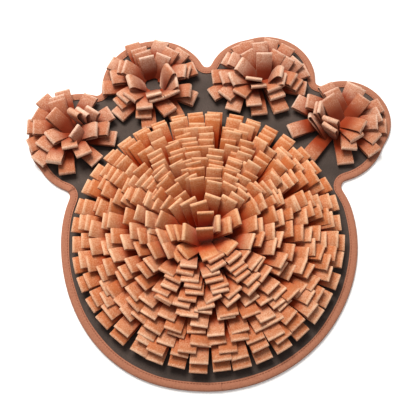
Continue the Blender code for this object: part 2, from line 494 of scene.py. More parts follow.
def walked(points, step):
    """The closed curve as equal steps: places, outward directions and distances walked."""
    fine = closed_curve(points, np.linspace(0, len(points), CURVE_STEPS * len(points), endpoint=False))
    lengths = np.linalg.norm(np.roll(fine, -1, axis=0) - fine, axis=1)
    distance = np.concatenate([[0], np.cumsum(lengths)])
    count = round(distance[-1] / step)
    wanted = np.arange(count) * distance[-1] / count
    closed = np.vstack([fine, fine[:1]])
    places = np.stack([np.interp(wanted, distance, closed[:, k]) for k in (0, 1)], axis=1)
    along = np.roll(places, -1, axis=0) - np.roll(places, 1, axis=0)
    along /= np.linalg.norm(along, axis=1)[:, None]
    return places, np.stack([along[:, 1], -along[:, 0]], axis=1), wanted


rim = rim_points(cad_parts["edge_binding"])
EDGE, EDGE_OUT, EDGE_WALKED = walked(rim, OUTLINE_STEP)
EDGE_LENGTH = EDGE_WALKED[-1] + OUTLINE_STEP
print(len(rim), "points in the solid,", len(EDGE), "here; edge length", round(EDGE_LENGTH, 3), "m")

# %% [markdown]
# ## The base cloth
#
# The base is one flat sheet. It is made as rings that follow the outline: the first few step in
# from the edge by real distances, because there the sheet is pressed thin inside the binding, and
# the rest shrink towards the palm. The same rings make the underside. The face is not quite flat:
# sewing hundreds of strips down draws it into low puckers, which a sum of a few slow waves gives.

# %% Base cloth sheet
BASE_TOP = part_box("base_cloth")[1].z


class SheetRing(NamedTuple):
    """A ring of the sheet, with the heights of its underside and its face there."""

    inset: float  # from the binding's outline
    low: float
    high: float


SHEET_RINGS = [
    SheetRing(inset=1.7 * MM, low=1.6 * MM, high=2.5 * MM),
    SheetRing(inset=6.0 * MM, low=1.6 * MM, high=2.55 * MM),
    SheetRing(inset=10.2 * MM, low=1.6 * MM, high=2.6 * MM),
    SheetRing(inset=13.0 * MM, low=0.2 * MM, high=2.85 * MM),
    SheetRing(inset=17.0 * MM, low=0.0, high=2.95 * MM),
]
SHEET_SHRINKS = 26  # steps from the last of these rings to the palm
PUCKER_HEIGHT = 0.35 * MM
PUCKER_STARTS = 2  # rings in from the edge
PUCKER_GROWS = 4  # rings over which the puckers reach their full height


def pucker(places):
    """Low waves in the cloth's face. Each is 2 pi times its number of millimetres long."""
    x, y = places[:, 0] / MM, places[:, 1] / MM
    across = np.sin(x / 17 + 1.3 * np.sin(y / 23))
    along = np.sin(y / 13 + 0.9 * np.sin(x / 19))
    slanting = np.sin((x - y) / 9)
    return PUCKER_HEIGHT * (across + along + slanting) / 3


def smooth(mesh, sharp_over):
    """Smooth shading, with sharp edges where two faces meet at more than this many degrees."""
    mesh.shade_smooth()
    mesh.set_sharp_from_angle(angle=math.radians(sharp_over))


def base_cloth_sheet():
    count = len(EDGE)
    inner = EDGE - EDGE_OUT * SHEET_RINGS[-1].inset
    rings = [(EDGE - EDGE_OUT * row.inset, row.low, row.high) for row in SHEET_RINGS]
    for k in range(1, SHEET_SHRINKS):
        rings.append((PALM + (inner - PALM) * (1 - k / SHEET_SHRINKS), 0.0, BASE_TOP))
    tops = []
    for k, (places, _, high) in enumerate(rings):
        grown = min(1.0, max(0.0, (k - PUCKER_STARTS) / PUCKER_GROWS))
        tops.append(np.column_stack([places, high + grown * (pucker(places) - PUCKER_HEIGHT)]))
    bottoms = [np.column_stack([places, np.full(count, low)]) for places, low, _ in rings]
    centre_top = np.array([[*PALM, BASE_TOP - PUCKER_HEIGHT]])
    centre_bottom = np.array([[*PALM, 0.0]])
    points = np.vstack(tops + bottoms + [centre_top, centre_bottom])
    start = len(rings) * count
    faces = []
    for k in range(len(rings) - 1):
        for i in range(count):
            j = (i + 1) % count
            a, b, c, d = k * count + i, k * count + j, (k + 1) * count + j, (k + 1) * count + i
            faces.append((a, b, c, d))
            faces.append((start + d, start + c, start + b, start + a))
    last = (len(rings) - 1) * count
    for i in range(count):
        j = (i + 1) % count
        faces.append((start + i, start + j, j, i))
        faces.append((last + i, last + j, len(points) - 2))
        faces.append((start + last + j, start + last + i, len(points) - 1))
    mesh = bpy.data.meshes.new("base_cloth_sheet")
    mesh.from_pydata(points.tolist(), [], faces)
    smooth(mesh, sharp_over=50)
    mesh.materials.append(BASE_CLOTH)
    return new_object("base_cloth_sheet", mesh)


base_sheet = base_cloth_sheet()
print("base cloth:", len(base_sheet.data.polygons), "faces")

# %% [markdown]
# ## The edge binding
#
# The tape is folded round the raw edge, so its cross-section is a C. The section is swept round
# the outline by hand rather than with a curve's bevel, because it changes on the way: the two
# ends of the tape overlap at the bottom of the paw, and the tape is tucked into each deep notch,
# where a small lap lies over the next stretch. A lap is a slow rise and then a sudden drop in the
# top flap. The stitch line lies in a shallow groove near the inner edge.

# %% The tape's cross-section and laps
BINDING_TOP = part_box("edge_binding")[1].z
TAPE_WIDTH = 10.5 * MM
TAPE_THICK = 1.1 * MM
STITCH_INSET = 8.6 * MM
LAP_HEIGHT = 0.9 * MM
LAP_RISE = 7.0 * MM
LAP_DROP = 0.5 * MM
LAP_EDGE = 0.001 * MM  # just past a lap's top, where the drop starts
TAPE_STRAYS = [(0.25 * MM, 31.0 * MM), (0.2 * MM, 11.0 * MM)]  # of the inner edge: height, length
LAP_PLACES = [  # metres: the tape's join, then the two deep notches beside the palm
    np.array([12.0, -191.0]) * MM,
    np.array([-184.0, 71.0]) * MM,
    np.array([182.0, 76.0]) * MM,
]


class SectionPoint(NamedTuple):
    """A point of the folded tape's cross-section. A lap lifts it by its share."""

    inset: float
    height: float
    lap: float


TAPE_SECTION = [
    SectionPoint(TAPE_WIDTH, 0.0, 0.0),
    SectionPoint(0.9 * MM, 0.0, 0.0),
    SectionPoint(0.2 * MM, 0.5 * MM, 0.0),
    SectionPoint(0.0, 1.5 * MM, 0.1),
    SectionPoint(0.0, 2.7 * MM, 0.4),
    SectionPoint(0.5 * MM, 3.6 * MM, 0.8),
    SectionPoint(1.6 * MM, BINDING_TOP, 1.0),
    SectionPoint(4.5 * MM, BINDING_TOP + 0.15 * MM, 1.0),
    SectionPoint(STITCH_INSET - 1.4 * MM, BINDING_TOP, 1.0),
    SectionPoint(STITCH_INSET, BINDING_TOP - 0.4 * MM, 1.0),
    SectionPoint(STITCH_INSET + 0.9 * MM, BINDING_TOP - 0.15 * MM, 1.0),
    SectionPoint(TAPE_WIDTH, BINDING_TOP - 0.35 * MM, 1.0),
    SectionPoint(TAPE_WIDTH, BINDING_TOP - 1.2 * MM, 0.6),
    SectionPoint(1.3 * MM, 2.9 * MM, 0.3),
    SectionPoint(1.2 * MM, 1.3 * MM, 0.0),
    SectionPoint(TAPE_WIDTH, 1.1 * MM, 0.0),
]
print("the tape's cross-section has", len(TAPE_SECTION), "points; laps at", len(LAP_PLACES), "places")

# %% [markdown]
# ## Sweeping the tape
#
# Each point of the cross-section becomes a ring round the whole edge, and faces join each ring to
# the next. The tape's inner edge strays a little, as a cut tape that is fed by hand does. Each
# face also gets its place on the tape's own UV map, in metres, for the ribs.

# %% Sweep the tape
def walked_at(place):
    """How far along the edge the point nearest to a place is."""
    return EDGE_WALKED[np.argmin(np.linalg.norm(EDGE - place, axis=1))]


def lap_share(distances):
    """How much a lap lifts the tape, from 0 to 1, at each distance along the edge."""
    share = np.zeros(len(distances))
    for place in LAP_PLACES:
        before = (walked_at(place) - distances) % EDGE_LENGTH
        after = EDGE_LENGTH - before
        rising = np.clip(1 - before / LAP_RISE, 0, 1)
        share = np.maximum(share, np.where(after < LAP_DROP, 1 - after / LAP_DROP, rising))
    return share


def tape_stations():
    """Distances along the edge for the tape's cross-sections, with two more at each lap's drop."""
    extra = [walked_at(place) + shift for place in LAP_PLACES for shift in (LAP_EDGE, LAP_DROP)]
    return np.unique(np.concatenate([EDGE_WALKED, extra]))


def edge_at(distances):
    """Places and outward directions on the edge at any distances along it."""
    walked_round = np.append(EDGE_WALKED, EDGE_LENGTH)
    wanted = distances % EDGE_LENGTH
    columns = []
    for values in (EDGE, EDGE_OUT):
        closed = np.vstack([values, values[:1]])
        columns.append(np.stack([np.interp(wanted, walked_round, closed[:, k]) for k in (0, 1)], axis=1))
    return columns


def tape_rings(distances):
    """Each point of the section as a ring round the edge, and its distance across the tape."""
    places, outwards = edge_at(distances)
    laps = lap_share(distances)
    strays = sum(stray * np.sin(distances / length) for stray, length in TAPE_STRAYS)
    rings = []
    across = [0.0]
    for k, point in enumerate(TAPE_SECTION):
        inset = point.inset + (strays if point.inset > STITCH_INSET else np.zeros(len(distances)))
        height = point.height + LAP_HEIGHT * point.lap * laps
        rings.append(np.column_stack([places - outwards * inset[:, None], height]))
        if k:
            last = TAPE_SECTION[k - 1]
            across.append(across[-1] + math.hypot(point.inset - last.inset, point.height - last.height))
    return rings, across


def folded_tape():
    distances = tape_stations()
    rings, across = tape_rings(distances)
    count = len(distances)
    sides = len(rings)
    faces = []
    uvs = []
    along = np.append(distances, EDGE_LENGTH)
    for k in range(sides):
        m = (k + 1) % sides
        near = across[k]
        far = across[m] if m else near + TAPE_THICK
        for i in range(count):
            j = (i + 1) % count
            faces.append((k * count + i, k * count + j, m * count + j, m * count + i))
            uvs += [(along[i], near), (along[i + 1], near), (along[i + 1], far), (along[i], far)]
    mesh = bpy.data.meshes.new("edge_binding_tape")
    mesh.from_pydata(np.vstack(rings).tolist(), [], faces)
    layer = mesh.uv_layers.new(name="UVMap")
    layer.data.foreach_set("uv", np.array(uvs, np.float32).ravel())
    smooth(mesh, sharp_over=55)
    mesh.materials.append(TAPE)
    return new_object("edge_binding_tape", mesh)


tape = folded_tape()
print("binding:", len(tape.data.polygons), "faces; laps lift it by", LAP_HEIGHT / MM, "mm")

# %% [markdown]
# ## Growing pieces with Geometry Nodes
#
# The stitches and the felt loops both repeat along paths, so both are made by Geometry Nodes. A
# plain mesh of edges holds the paths, a tree turns it into the finished piece, and the result is
# then kept as a plain mesh, so that nothing is left to run when the file is opened elsewhere.

# %% Run a tree and keep its result
def path_object(name, paths, closed=False):
    """A mesh of edges only, one chain for each path."""
    points, edges = [], []
    for path in paths:
        first = len(points)
        points += [tuple(point) for point in path]
        edges += [(first + k, first + k + 1) for k in range(len(path) - 1)]
        if closed:
            edges.append((len(points) - 1, first))
    mesh = bpy.data.meshes.new(name)
    mesh.from_pydata(points, edges, [])
    return new_object(name, mesh)


def new_tree(name, sizes):
    """A Geometry Nodes tree with a geometry input, the named sizes and a material input."""
    tree = bpy.data.node_groups.new(name, "GeometryNodeTree")
    tree.interface.new_socket("Paths", in_out="INPUT", socket_type="NodeSocketGeometry")
    for size_name, value in sizes.items():
        socket = tree.interface.new_socket(size_name, in_out="INPUT", socket_type="NodeSocketFloat")
        socket.default_value = value
    tree.interface.new_socket("Material", in_out="INPUT", socket_type="NodeSocketMaterial")
    tree.interface.new_socket("Piece", in_out="OUTPUT", socket_type="NodeSocketGeometry")
    return tree, add_node(tree, "NodeGroupInput").outputs


def end_tree(tree, geometry, material):
    """Realize Instances and Set Material, which every tree here ends in."""
    real = add_node(tree, "GeometryNodeRealizeInstances", {"Geometry": geometry})
    done = add_node(tree, "GeometryNodeSetMaterial", {"Geometry": real.outputs[0], "Material": material})
    add_node(tree, "NodeGroupOutput", {"Piece": done.outputs[0]})


def grow(name, source, tree, **inputs):
    """Runs the tree on the source, keeps the result as a plain mesh, and removes the source."""
    modifier = source.modifiers.new(tree.name, "NODES")
    modifier.node_group = tree
    identifiers = {item.name: item.identifier for item in tree.interface.items_tree if item.in_out == "INPUT"}
    for key, value in inputs.items():
        modifier[identifiers[key]] = value
    graph = bpy.context.evaluated_depsgraph_get()
    mesh = bpy.data.meshes.new_from_object(source.evaluated_get(graph), depsgraph=graph)
    source.modifiers.remove(modifier)
    bpy.data.objects.remove(source)
    mesh.name = name
    return new_object(name, mesh)


print("tree helpers:", path_object.__name__, new_tree.__name__, end_tree.__name__, grow.__name__)

# %% [markdown]
# ## The topstitching
#
# One row of straight stitches runs round the binding, near its inner edge, and holds both flaps.
# Each stitch is a short rounded length of thread that dips into the tape at both ends. A low
# sphere pulled long is enough at this size, turned along the path at each stitch.

# %% Stitches
STITCH_PITCH = 3.7 * MM
STITCH_LENGTH = 2.9 * MM
STITCH_THICK = 0.9 * MM
STITCH_HEIGHT = BINDING_TOP - 0.25 * MM


def stitch_tree():
    sizes = {"Pitch": STITCH_PITCH, "Length": STITCH_LENGTH, "Thread": STITCH_THICK}
    tree, given = new_tree("straight stitches", sizes)
    line = add_node(tree, "GeometryNodeMeshToCurve", {"Mesh": given["Paths"]})
    dots = add_node(
        tree, "GeometryNodeResampleCurve", {"Curve": line.outputs[0], "Length": given["Pitch"]}, mode="LENGTH"
    )
    along = add_node(tree, "GeometryNodeInputTangent")
    turn = add_node(tree, "FunctionNodeAlignRotationToVector", {"Vector": along.outputs[0]}, axis="X")
    bead = add_node(tree, "GeometryNodeMeshUVSphere", {"Segments": 6, "Rings": 5, "Radius": 0.5})
    soft_bead = add_node(tree, "GeometryNodeSetShadeSmooth", {"Geometry": bead.outputs[0]})
    shape = add_node(
        tree, "ShaderNodeCombineXYZ", {"X": given["Length"], "Y": given["Thread"], "Z": given["Thread"]}
    )
    stitches = add_node(
        tree,
        "GeometryNodeInstanceOnPoints",
        {
            "Points": dots.outputs[0],
            "Instance": soft_bead.outputs[0],
            "Rotation": turn.outputs[0],
            "Scale": shape.outputs[0],
        },
    )
    end_tree(tree, stitches.outputs[0], given["Material"])
    return tree


def stitch_path():
    laps = lap_share(EDGE_WALKED)
    return np.column_stack([EDGE - EDGE_OUT * STITCH_INSET, STITCH_HEIGHT + LAP_HEIGHT * laps])


stitches = grow(
    "edge_binding_stitches",
    path_object("stitch_line", [stitch_path()], closed=True),
    stitch_tree(),
    Material=SEWING_THREAD,
)
print("stitches:", round(EDGE_LENGTH / STITCH_PITCH), "of", STITCH_LENGTH / MM, "mm")

# %% [markdown]
# ## One felt loop
#
# Each loop is a strip folded in half and sewn down by both ends. Seen from its side it is a long
# drop: two legs side by side at the foot, a belly, and a rounded fold at the tip. It leans
# outwards, droops a little more towards its tip, and few are quite straight: a strip twists and
# sways between its foot and its fold. The function below works out the middle of the felt's
# thickness from one sewn end, over the fold, to the other, and the direction across the strip at
# each point. A tree then sweeps the strip's cross-section along it.

# %% The path of one loop
STRIP_WIDTH = 21.8 * MM
FELT_THICK = 1.2 * MM
FOOT_HEIGHT = BASE_TOP + 2.2 * MM  # just under the top of the solid's backing disc
LEG_SHARES = np.array([0.0, 0.16, 0.36, 0.58, 0.78, 0.93])  # up each leg, to where the fold starts
FOLD_TURNS = np.radians([-58, -28, 0, 28, 58])  # round the fold
WALK_STEPS = 24
FOOT_HALF = 0.52 * FELT_THICK  # from a leg's middle to the loop's, where the legs touch
BELLY_FULLNESS = 1.4  # above 1, the legs stay together longer before they part


class Loop(NamedTuple):
    """A felt loop as it is sewn down. Angles are in degrees and lengths in metres."""

    x: float
    y: float
    heading: float  # where it points, from +X
    lean: float  # from upright
    length: float
    opening: float  # between the legs, at the belly
    tilt: float = 0.0  # how far it leans along its own width
    roll: float = 0.0  # how far the fold has twisted
    droop: float = 14.0  # how much more the tip leans than the foot
    sway: float = 0.0  # how far the fold points aside from the foot
    width: float = 1.0  # of the strip, as a share of the usual
    shade: float = 0.5
    # painted light: how warm a light is painted on the loop, from 0 for cool to 1 for warm
    light_warmth: float = 1.0


def loop_path(loop):
    """Points along the felt from one end to the other, and the direction across it at each."""
    shares = np.linspace(0, 1, WALK_STEPS + 1)
    lean = np.radians(loop.lean + loop.droop * (shares - 0.5))
    heading = np.radians(loop.heading + loop.sway * shares)
    roll = np.radians(loop.roll * shares)
    out = np.column_stack([np.cos(heading), np.sin(heading), np.zeros(len(shares))])
    up = np.array([0.0, 0.0, 1.0])
    forward = out * np.sin(lean)[:, None] + up * np.cos(lean)[:, None]
    side = np.column_stack([-np.sin(heading), np.cos(heading), np.zeros(len(shares))])
    face = np.cross(side, forward)
    tilt = math.radians(loop.tilt)
    forward, side = (
        forward * math.cos(tilt) + side * math.sin(tilt),
        side * math.cos(tilt) - forward * math.sin(tilt),
    )
    across = side * np.cos(roll)[:, None] + face * np.sin(roll)[:, None]
    face = np.cross(across, forward)
    steps = (forward[1:] + forward[:-1]) / 2 * loop.length / WALK_STEPS
    middle = np.vstack([np.zeros(3), np.cumsum(steps, axis=0)]) + (loop.x, loop.y, FOOT_HEIGHT)

    def at(values, wanted):
        return np.column_stack([np.interp(wanted, shares, values[:, k]) for k in range(3)])

    half = (loop.opening + FELT_THICK) / 2
    belly = LEG_SHARES / LEG_SHARES[-1]
    offset = FOOT_HALF + (half - FOOT_HALF) * np.sin(belly * math.pi / 2) ** BELLY_FULLNESS
    fold_start = 1 - half / loop.length
    leg_shares = belly * fold_start
    leg_middle, leg_face, leg_across = (at(v, leg_shares) for v in (middle, face, across))
    tip_middle, tip_face, tip_across, tip_forward = (
        at(v, np.full(len(FOLD_TURNS), fold_start)) for v in (middle, face, across, forward)
    )
    fold = (
        tip_middle
        + tip_face * (half * np.sin(FOLD_TURNS))[:, None]
        + tip_forward * (half * np.cos(FOLD_TURNS))[:, None]
    )
    upper = leg_middle - leg_face * offset[:, None]
    under = leg_middle + leg_face * offset[:, None]
    return np.vstack([upper, fold, under[::-1]]), np.vstack([leg_across, tip_across, leg_across[::-1]])


test_path, _ = loop_path(Loop(0, 0, heading=0, lean=45, length=55 * MM, opening=5 * MM))
print("a loop has", len(test_path), "points and reaches", np.round(test_path.max(axis=0) / MM, 1), "mm")

# %% [markdown]
# ## Sweeping the strips
#
# The tree turns each path into a curve, sets the curve's normal to the stored direction across
# the strip, so that no strip twists by itself, and sweeps a rectangle with slightly softened
# corners along it. The shade that each loop was given, and the warmth of the light painted on it,
# stay on the mesh for the felt's material.

# %% The strip tree
CORNER_SOFT = 0.2 * MM
FOOT_PINCH = 0.25  # how much narrower a strip is gathered where it is sewn down


def strip_tree():
    sizes = {"Strip width": STRIP_WIDTH, "Felt thickness": FELT_THICK, "Corner": CORNER_SOFT}
    tree, given = new_tree("felt strips", sizes)
    chains = add_node(tree, "GeometryNodeMeshToCurve", {"Mesh": given["Paths"]})
    across = add_node(tree, "GeometryNodeInputNamedAttribute", {"Name": "across"}, data_type="FLOAT_VECTOR")
    turned = add_node(
        tree,
        "GeometryNodeSetCurveNormal",
        {"Curve": chains.outputs[0], "Normal": across.outputs["Attribute"]},
        mode="FREE",
    )
    section = add_node(
        tree,
        "GeometryNodeCurvePrimitiveQuadrilateral",
        {"Width": given["Strip width"], "Height": given["Felt thickness"]},
    )
    softened = add_node(
        tree,
        "GeometryNodeFilletCurve",
        {"Curve": section.outputs[0], "Count": 1, "Radius": given["Corner"]},
        mode="POLY",
    )
    pinch = add_node(tree, "GeometryNodeInputNamedAttribute", {"Name": "pinch"}, data_type="FLOAT")
    strips = add_node(
        tree,
        "GeometryNodeCurveToMesh",
        {
            "Curve": turned.outputs[0],
            "Profile Curve": softened.outputs[0],
            "Scale": pinch.outputs["Attribute"],
            "Fill Caps": True,
        },
    )
    end_tree(tree, strips.outputs[0], given["Material"])
    return tree


STRIPS = strip_tree()


def from_fold(path):
    """How far along the felt each point of a path is from the fold."""
    steps = np.linalg.norm(np.diff(path, axis=0), axis=1)
    walked_along = np.concatenate([[0], np.cumsum(steps)])
    return np.abs(walked_along - walked_along[len(path) // 2])


def felt_loops(name, loops):
    """One piece made of all these loops."""
    paths, acrosses = zip(*(loop_path(loop) for loop in loops))
    source = path_object(name + "_paths", paths)
    per_path = len(paths[0])
    half = per_path // 2
    towards_foot = np.abs(np.arange(per_path) - half) / half
    pinch = np.outer([loop.width for loop in loops], 1 - FOOT_PINCH * towards_foot**4)
    attributes = source.data.attributes
    attributes.new("across", "FLOAT_VECTOR", "POINT").data.foreach_set("vector", np.vstack(acrosses).ravel())
    # each loop's own shade, the warmth of the light painted on it, and the distance from the fold for the
    # painted highlight and shade
    values = {
        "pinch": pinch.ravel(),
        "depth": np.concatenate([from_fold(path) for path in paths]),
        "shade": np.repeat([loop.shade for loop in loops], per_path),
        "light_warmth": np.repeat([loop.light_warmth for loop in loops], per_path),
    }
    for key, numbers in values.items():
        attributes.new(key, "FLOAT", "POINT").data.foreach_set("value", numbers)
    piece = grow(name, source, STRIPS, Material=FELT)
    smooth(piece.data, sharp_over=50)
    return piece


print("strip tree:", len(STRIPS.nodes), "nodes")

# %% [markdown]
# ## The round pad
#
# The strips are sewn down ring by ring. The pad's middle stands nearly upright and each ring
# outwards leans further, because it rests on the ring below it. Only the outermost ring has
# nothing below it and falls nearly flat. The rings follow this table. Neighbours in a ring are sewn
# a little nearer and farther in turn, so that their feet do not crowd each other. On the upper side
# three short rings lie between the others, and some rings stand in step and make columns. On the
# lower side they lie like bricks, and the whole pad is combed a little downwards.

# %% The pad's rings
PAD_CENTRE = (0.0, 4.0)


class PadRing(NamedTuple):
    """A ring of the pad, in millimetres and degrees. Rings of one column share headings and stack."""

    foot: float  # radius at the pad's lower side
    upper: float  # radius at its upper side
    count: int
    column: int
    lean: float
    comb: float  # how far the loops lie combed towards the pad's lower side
    length: float = 55
    opening: float = 0.9
    zigzag: float = 2.4  # neighbours are sewn this much nearer and farther in turn
    wobble: float = 1.0  # how untidy the ring is
    shift: float = 0.0  # from its column at the lower side, as a share of the way between neighbours
    all_round: bool = True  # or else only across the pad's upper side


# foot, upper, count, column, lean, comb
PAD_RINGS = [
    PadRing(29, 26, 17, 0, 40, 2, length=53, opening=1.4),
    PadRing(39, 33, 17, 0, 42, 2, length=54, opening=1.2, shift=0.4),
    PadRing(49, 40, 24, 1, 44, 3, opening=1.0),
    PadRing(59, 53, 24, 1, 46.5, 4, opening=1.0, shift=-0.45),
    PadRing(68.5, 66, 24, 1, 49.5, 5, shift=0.4),
    PadRing(77.5, 79.5, 30, 2, 53, 7),
    PadRing(86.5, 87, 30, 2, 56, 8, shift=0.5),
    PadRing(95, 95, 35, 3, 59, 9),
    PadRing(104, 104, 35, 3, 62, 8, shift=-0.5),
    PadRing(113.5, 113.5, 40, 4, 67, 6, length=54, zigzag=1.2, wobble=0.5),
    PadRing(122, 122, 40, 4, 78, 3, length=53, opening=1.1, zigzag=0.4, wobble=0.35),
    PadRing(46.5, 46.5, 24, 1, 45.3, 3.5, all_round=False),
    PadRing(59.5, 59.5, 24, 1, 48, 4.5, all_round=False),
    PadRing(72.5, 72.5, 30, 2, 51, 6, all_round=False),
]
print("rings:", len(PAD_RINGS), "of", min(r.count for r in PAD_RINGS), "to", max(r.count for r in PAD_RINGS))

# %% [markdown]
# ## Loops that were read one by one
#
# At the pad's middle no two loops stand alike, so they were read from the photograph loop by loop,
# and so were the tight stacks just below it, where each fold lies close above the next. A loop is
# read by its fold: where the fold is, which way it runs, and how high it must be for a strip of the
# usual length. That gives the heading and the lean. Felt never repeats itself exactly, so a little
# chance is added to what can't be read.

# %% The pad's middle
class SewnLoop(NamedTuple):
    """A loop that was read by itself, in millimetres from its patch's middle and in degrees."""

    foot_x: float
    foot_y: float
    heading: float
    lean: float
    length: float
    opening: float
    tilt: float = 0.0
    roll: float = 0.0


# foot x, foot y, heading, lean, length, opening, then tilt and roll where they matter
PAD_MIDDLE = [
    (-2, 12, 96, 7, 45, 3),
    (-3, -8, 97, 7, 43, 3, 1),
    (-8, -5, -73, 46, 50, 3),
    (-4, 10, 112, 26, 50, 3),
    (-11, 11, 122, 33, 50, 3),
    (-17, 7, 132, 43, 52, 2.5),
    (0, 17, 72, 29, 50, 3),
    (13, 12, 58, 35, 51, 3),
    (6, 9, -2, 10, 46, 5, -8),
    (0, 2, -2, 35, 50, 4),
    (8, 5, 15, 41, 50, 4),
    (-17, 5, -161, 43, 50, 3),
    (-10, -1, -170, 37, 50, 3),
    (-5, -8, 179, 31, 50, 3.5),
    (-20, 3, -158, 49, 52, 3),
    (-6, -8, -137, 46, 50, 3.5),
    (-12, -12, -144, 50, 51, 3),
    (5, -6, -43, 43, 50, 3.5),
]
PAD_STACKS = [
    (-22, -19, -97, 39, 52, 3),
    (-23, -25, -99, 43, 52, 3),
    (-19, -33, -99, 44, 53, 2),
    (-15, -39, -97, 45, 54, 2),
    (-14, -45, -98, 47, 55, 2),
    (-18, -52, -104, 49, 55, 2),
    (-23, -57, -105, 52, 55, 2),
    (-3, -16, -67, 36, 50, 2),
    (-2, -27, -65, 36, 51, 2.5),
    (-7, -29, -71, 42, 52, 2),
    (-2, -35, -74, 43, 53, 2),
    (3, -41, -75, 45, 54, 1.5),
    (1, -46, -70, 46, 55, 1.5),
    (-9, -54, -71, 49, 55, 2),
    (-12, -60, -78, 51, 55, 2),
    (14, -20, -49, 36, 50, 3),
    (14, -26, -50, 42, 51, 2),
    (19, -29, -55, 43, 52, 2),
    (18, -37, -51, 45, 53, 2),
    (27, -41, -45, 47, 54, 2),
    (7, -53, -56, 48, 54, 2),
    (26, -50, -48, 50, 55, 2),
    (6, -59, -58, 51, 55, 2),
    (-33, -26, -124, 45, 53, 2),
    (-27, -34, -119, 45, 53, 2),
    (-33, -40, -114, 48, 54, 2),
    (-41, -44, -113, 51, 55, 2),
    (-37, -53, -117, 53, 55, 2),
]
# chance, for what can't be read: ranges, and the spreads of roll and sway in degrees
READ_OPENINGS = (0.7, 1.2)  # shares of the opening that was read
READ_ROLL = 3.0
READ_SWAY = 3.0
READ_DROOPS = (8.0, 24.0)
READ_WIDTHS = (0.95, 1.03)  # shares of the usual width


def sewn_loops(rows, centre, chance, light_warmth=1.0, downhill_light_warmth=0.0):
    """The loops of a table, with a little of the sway and droop that felt has."""
    loops = []
    for row in rows:
        sewn = SewnLoop(*row)
        loops.append(
            Loop(
                x=(centre[0] + sewn.foot_x) * MM,
                y=(centre[1] + sewn.foot_y) * MM,
                heading=sewn.heading,
                lean=sewn.lean,
                length=sewn.length * MM,
                opening=sewn.opening * chance.uniform(*READ_OPENINGS) * MM,
                tilt=sewn.tilt,
                roll=sewn.roll + chance.normal(0, READ_ROLL),
                droop=chance.uniform(*READ_DROOPS),
                sway=chance.normal(0, READ_SWAY),
                width=chance.uniform(*READ_WIDTHS),
                shade=chance.uniform(),
                # painted light, which changes with how far the loop points down
                light_warmth=light_warmth - downhill_light_warmth * math.sin(math.radians(sewn.heading)),
            )
        )
    return loops


print("read one by one in the pad:", len(PAD_MIDDLE) + len(PAD_STACKS), "loops")

# %% [markdown]
# ## Sewing the pad
#
# Loops in a ring are evenly spaced, but hand-sewn. Each strays a little by itself, and it also
# strays with its column: where one strip is sewn slanting, those stacked on it slant too. The
# strips are a little narrower on the upper side, and the felt there is painted in warmer light,
# as its faces get mostly light bounced between the loops. All chance comes from one seed, so the
# pad is the same at each run.

# %% Sew the pad
PAD_SEED = 11
COLUMN_LIMIT = 12  # chance is drawn for this many columns
SLOT_LIMIT = 40  # and for this many loops in each
UPPER_SIDE = 0.25  # the sine of the heading where the short rings end
STACKS_REACH = 62.0  # from the pad's middle, in millimetres
STACKS_SECTOR = (-143.0, -42.0)  # degrees from +X
RING_OPENINGS = (0.6, 1.5)
RING_DROOPS = (10.0, 22.0)
RING_WIDTHS = (0.96, 1.06)  # shares of the usual width on that side
PAD_WIDTH = 0.96  # halfway up the pad, as a share of the strip's width
PAD_UPHILL_WIDTH = -0.05
# painted light: how warm a light is painted on the pad halfway up, and how much warmer at its upper side
PAD_LIGHT_WARMTH = 0.84
PAD_UPHILL_LIGHT_WARMTH = 0.16


class Stray(NamedTuple):
    """How far a loop strays from its ring's values."""

    by_itself: float  # the spread of its own chance
    with_column: float = 0.0  # for each unit that its column slants there


# in millimetres and degrees, apart from the first, which is a share of the way between neighbours
SLOT_STRAY = Stray(0.06, with_column=0.04)
FOOT_STRAY = Stray(0.5)
HEADING_STRAY = Stray(2.0, with_column=2.0)
LEAN_STRAY = Stray(2.4)
LENGTH_STRAY = Stray(1.8)
TILT_STRAY = Stray(2.5, with_column=2.5)
ROLL_STRAY = Stray(5.0, with_column=3.0)
SWAY_STRAY = Stray(3.0, with_column=-4.0)  # back, against the slant


def among_stacks(loop):
    """Whether a ring's loop would stand where the stacks below the middle are sewn."""
    x, y = loop.x / MM - PAD_CENTRE[0], loop.y / MM - PAD_CENTRE[1]
    direction = math.degrees(math.atan2(y, x))
    return math.hypot(x, y) < STACKS_REACH and STACKS_SECTOR[0] < direction < STACKS_SECTOR[1]


def ring_loop(ring, i, phase, slant, chance):
    """Loop number i of a ring, or None where a short ring has none."""

    def strayed(stray):
        return (stray.with_column * slant + chance.normal(0, stray.by_itself)) * ring.wobble

    slot = i + strayed(SLOT_STRAY)
    heading = phase + 360 * slot / ring.count
    heading += 180 * ring.shift / ring.count * (1 - math.sin(math.radians(heading)))
    height = math.sin(math.radians(heading))  # 1 at the pad's top and -1 at its bottom
    if not ring.all_round and height < UPPER_SIDE:
        return None
    foot = ring.foot + (ring.upper - ring.foot) * (1 + height) / 2
    foot += ring.zigzag * (1 if i % 2 else -1) + strayed(FOOT_STRAY)
    uphill = ring.length * math.cos(math.radians(ring.lean)) * math.sin(math.radians(ring.comb))
    return Loop(
        x=(PAD_CENTRE[0] + foot * math.cos(math.radians(heading))) * MM,
        y=(PAD_CENTRE[1] + uphill + foot * math.sin(math.radians(heading))) * MM,
        heading=heading + strayed(HEADING_STRAY),
        lean=ring.lean - ring.comb * height + strayed(LEAN_STRAY),
        length=(ring.length + strayed(LENGTH_STRAY)) * MM,
        opening=ring.opening * chance.uniform(*RING_OPENINGS) * MM,
        tilt=strayed(TILT_STRAY),
        roll=strayed(ROLL_STRAY),
        droop=chance.uniform(*RING_DROOPS),
        sway=strayed(SWAY_STRAY),
        width=chance.uniform(*RING_WIDTHS) * (PAD_WIDTH + PAD_UPHILL_WIDTH * height),
        shade=chance.uniform(),
        # painted light: the pad's upper side is painted in warmer light
        light_warmth=PAD_LIGHT_WARMTH + PAD_UPHILL_LIGHT_WARMTH * height,
    )


